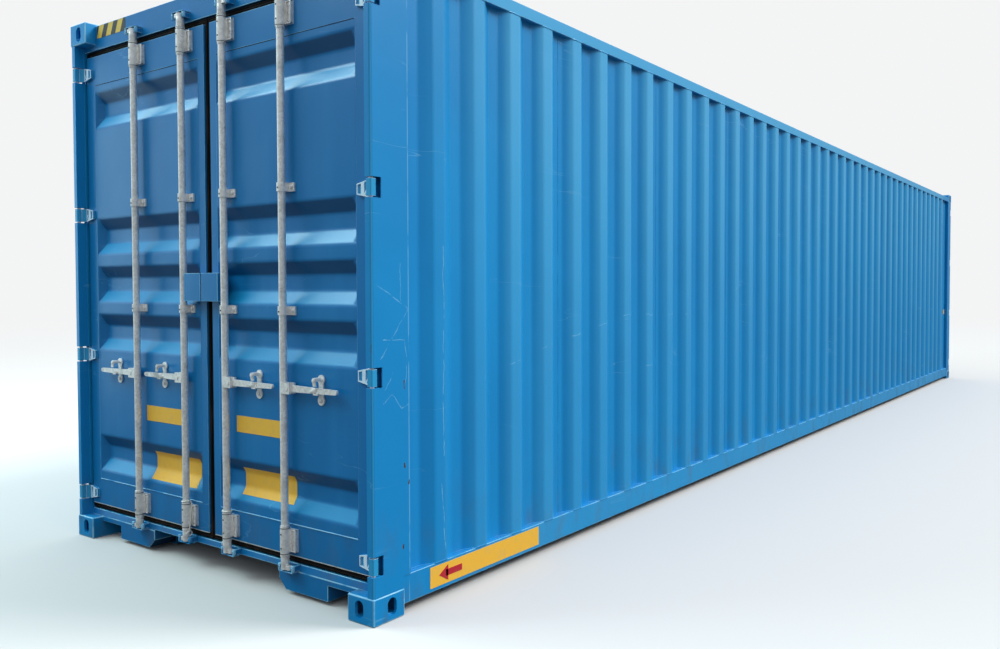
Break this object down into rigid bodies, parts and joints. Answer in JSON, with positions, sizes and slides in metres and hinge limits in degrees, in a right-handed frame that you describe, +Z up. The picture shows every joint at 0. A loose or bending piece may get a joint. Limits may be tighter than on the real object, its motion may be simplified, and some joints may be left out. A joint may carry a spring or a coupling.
{
  "type": "shipping container",
  "caption": "Forty foot high-cube shipping container with corrugated steel walls, double doors with locking bars, and a gooseneck tunnel.",
  "frame": {"origin": "on the ground, at the middle of the footprint of the corner castings", "axes": "+X along the length, with the gooseneck tunnel end and its moving doors facing -X; +Y towards the left-hand side as seen by someone who looks along +X; +Z up"},
  "size_m": [12.192, 2.438, 2.896],
  "materials": {
    "side_paint": "satin enamel, scratched",
    "end_paint": "satin enamel",
    "zinc": "hot-dip galvanised, dull",
    "seal_rubber": "matt",
    "rope": "twisted polypropylene, dirty white",
    "plywood": "oiled plywood"
  },
  "bodies": {
    "root": {"corner_castings": "side_paint", "near_posts": "side_paint", "far_posts": "side_paint", "top_rails": "side_paint", "bottom_rails": "side_paint", "right_wall": "side_paint", "left_wall": "side_paint", "roof": "side_paint", "ventilators": "side_paint", "headers": "end_paint", "near_sill": "end_paint", "far_sill": "end_paint", "crossmembers": "end_paint", "gooseneck_tunnel": "end_paint", "tunnel_rails": "end_paint", "keeper_lugs": "end_paint", "keeper_caps": "end_paint", "far_leaf_frames": "end_paint", "far_leaf_sheets": "end_paint", "far_hinges": "end_paint", "far_lock_box": "end_paint", "floor_deck": "plywood", "hinge_pins": "zinc", "far_brackets": "zinc", "far_handle_rests": "zinc", "far_rods": "zinc", "far_handles": "zinc", "far_leaf_seals": "seal_rubber"},
    "right_leaf": {"right_leaf_frame": "end_paint", "right_leaf_sheet": "end_paint", "right_leaf_seal": "seal_rubber", "right_hinges": "end_paint", "right_brackets": "zinc", "right_handle_rests": "zinc", "right_lock_box": "end_paint", "right_rope": "rope", "right_ring": "zinc"},
    "right_outer_rod": {"right_outer_rod": "zinc"},
    "right_outer_handle": {"right_outer_handle": "zinc"},
    "right_outer_flap": {"right_outer_flap": "zinc"},
    "right_inner_rod": {"right_inner_rod": "zinc"},
    "right_inner_handle": {"right_inner_handle": "zinc"},
    "right_inner_flap": {"right_inner_flap": "zinc"},
    "left_leaf": {"left_leaf_frame": "end_paint", "left_leaf_sheet": "end_paint", "left_leaf_seal": "seal_rubber", "left_hinges": "end_paint", "left_brackets": "zinc", "left_handle_rests": "zinc", "left_lock_box": "end_paint", "left_rope": "rope", "left_ring": "zinc"},
    "left_outer_rod": {"left_outer_rod": "zinc"},
    "left_outer_handle": {"left_outer_handle": "zinc"},
    "left_outer_flap": {"left_outer_flap": "zinc"},
    "left_inner_rod": {"left_inner_rod": "zinc"},
    "left_inner_handle": {"left_inner_handle": "zinc"},
    "left_inner_flap": {"left_inner_flap": "zinc"}
  },
  "joints": [
    {"name": "right_door", "type": "hinge", "parent": "root", "child": "right_leaf", "pos_m": [-6.076, -1.197, 1.4], "axis": [0, 0, 1], "range_deg": [0, 262]},
    {"name": "right_outer_bar_turn", "type": "hinge", "parent": "right_leaf", "child": "right_outer_rod", "pos_m": [-6.071, -0.612, 1.4], "axis": [0, 0, 1], "range_deg": [-100, 0]},
    {"name": "right_outer_handle_lift", "type": "hinge", "parent": "right_outer_rod", "child": "right_outer_handle", "pos_m": [-6.071, -0.654, 0.962], "axis": [-1, 0, 0], "range_deg": [0, 7]},
    {"name": "right_outer_flap_swing", "type": "hinge", "parent": "right_leaf", "child": "right_outer_flap", "pos_m": [-6.084, -0.838, 1.008], "axis": [-1, 0, 0], "range_deg": [0, 42]},
    {"name": "right_inner_bar_turn", "type": "hinge", "parent": "right_leaf", "child": "right_inner_rod", "pos_m": [-6.071, -0.172, 1.4], "axis": [0, 0, 1], "range_deg": [-100, 0]},
    {"name": "right_inner_handle_lift", "type": "hinge", "parent": "right_inner_rod", "child": "right_inner_handle", "pos_m": [-6.071, -0.214, 0.962], "axis": [-1, 0, 0], "range_deg": [0, 7]},
    {"name": "right_inner_flap_swing", "type": "hinge", "parent": "right_leaf", "child": "right_inner_flap", "pos_m": [-6.084, -0.398, 1.008], "axis": [-1, 0, 0], "range_deg": [0, 42]},
    {"name": "left_door", "type": "hinge", "parent": "root", "child": "left_leaf", "pos_m": [-6.076, 1.197, 1.4], "axis": [0, 0, -1], "range_deg": [0, 262]},
    {"name": "left_outer_bar_turn", "type": "hinge", "parent": "left_leaf", "child": "left_outer_rod", "pos_m": [-6.071, 0.612, 1.4], "axis": [0, 0, -1], "range_deg": [-100, 0]},
    {"name": "left_outer_handle_lift", "type": "hinge", "parent": "left_outer_rod", "child": "left_outer_handle", "pos_m": [-6.071, 0.654, 0.962], "axis": [1, 0, 0], "range_deg": [0, 7]},
    {"name": "left_outer_flap_swing", "type": "hinge", "parent": "left_leaf", "child": "left_outer_flap", "pos_m": [-6.084, 0.838, 1.008], "axis": [1, 0, 0], "range_deg": [0, 42]},
    {"name": "left_inner_bar_turn", "type": "hinge", "parent": "left_leaf", "child": "left_inner_rod", "pos_m": [-6.071, 0.172, 1.4], "axis": [0, 0, -1], "range_deg": [-100, 0]},
    {"name": "left_inner_handle_lift", "type": "hinge", "parent": "left_inner_rod", "child": "left_inner_handle", "pos_m": [-6.071, 0.214, 0.962], "axis": [1, 0, 0], "range_deg": [0, 7]},
    {"name": "left_inner_flap_swing", "type": "hinge", "parent": "left_leaf", "child": "left_inner_flap", "pos_m": [-6.084, 0.398, 1.008], "axis": [1, 0, 0], "range_deg": [0, 42]}
  ],
  "couplings": [
    {"joint": "right_outer_flap_swing", "follows": "right_outer_handle_lift", "ratio": 6},
    {"joint": "right_inner_flap_swing", "follows": "right_inner_handle_lift", "ratio": 6},
    {"joint": "left_outer_flap_swing", "follows": "left_outer_handle_lift", "ratio": 6},
    {"joint": "left_inner_flap_swing", "follows": "left_inner_handle_lift", "ratio": 6}
  ]
}
